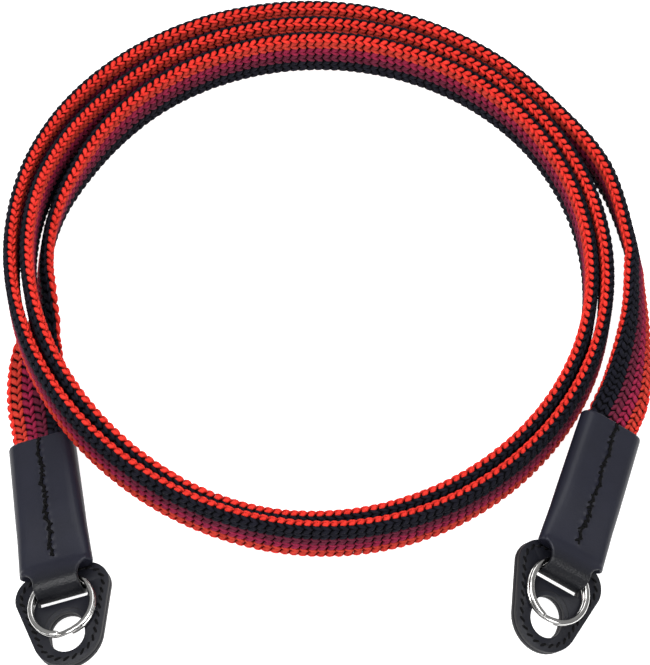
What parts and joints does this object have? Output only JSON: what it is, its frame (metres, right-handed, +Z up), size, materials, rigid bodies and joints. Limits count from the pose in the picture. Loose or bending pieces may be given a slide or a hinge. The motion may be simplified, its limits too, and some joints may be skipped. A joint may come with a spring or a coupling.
{
  "type": "coiled camera wrist and shoulder strap with leather ends and split rings",
  "caption": "Knitted red and black camera strap lying coiled flat, with leather end sleeves, lug guards and split rings.",
  "frame": {"origin": "middle of the coiled strap's footprint, on the surface that it lies on", "axes": "+Z up, +Y away from the two leather ends, +X to the right seen from above"},
  "size_m": [0.1528, 0.176, 0.025],
  "materials": {
    "knit": "thick knitted yarn, red to black across the width",
    "leather": "smooth charcoal leather, satin",
    "ring_steel": "bright plated spring steel"
  },
  "bodies": {
    "root": {"strap_band": "knit", "sleeve_left": "leather", "sleeve_right": "leather", "guard_front_left": "leather", "guard_front_right": "leather", "guard_back_left": "leather", "guard_back_right": "leather", "ring_left": "ring_steel", "ring_right": "ring_steel"}
  },
  "joints": []
}
